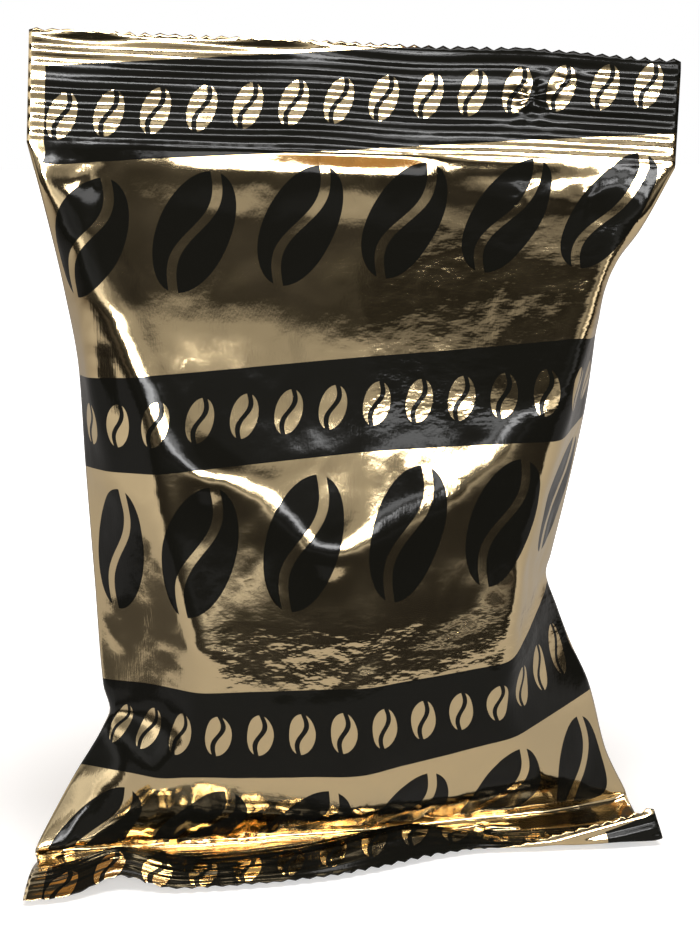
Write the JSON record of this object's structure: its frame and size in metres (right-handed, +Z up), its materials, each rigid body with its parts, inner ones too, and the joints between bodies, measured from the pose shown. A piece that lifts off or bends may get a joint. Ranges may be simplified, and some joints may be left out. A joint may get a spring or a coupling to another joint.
{
  "type": "coffee bag",
  "caption": "Gold foil pillow pack of ground coffee with crimped, saw-cut seals top and bottom, printed with black bands, standing on its settled base",
  "frame": {"origin": "centre of the bounding box, on the surface the pack stands on", "axes": "+Z up, the pack's width along X, its printed front facing -Y"},
  "size_m": [0.1439, 0.0546, 0.1759],
  "materials": {
    "gold_film": "metallised plastic film, glossy and mirror-like, gold, with glossy black printed bands and shapes"
  },
  "bodies": {
    "root": {"bag": "gold_film"}
  },
  "joints": []
}
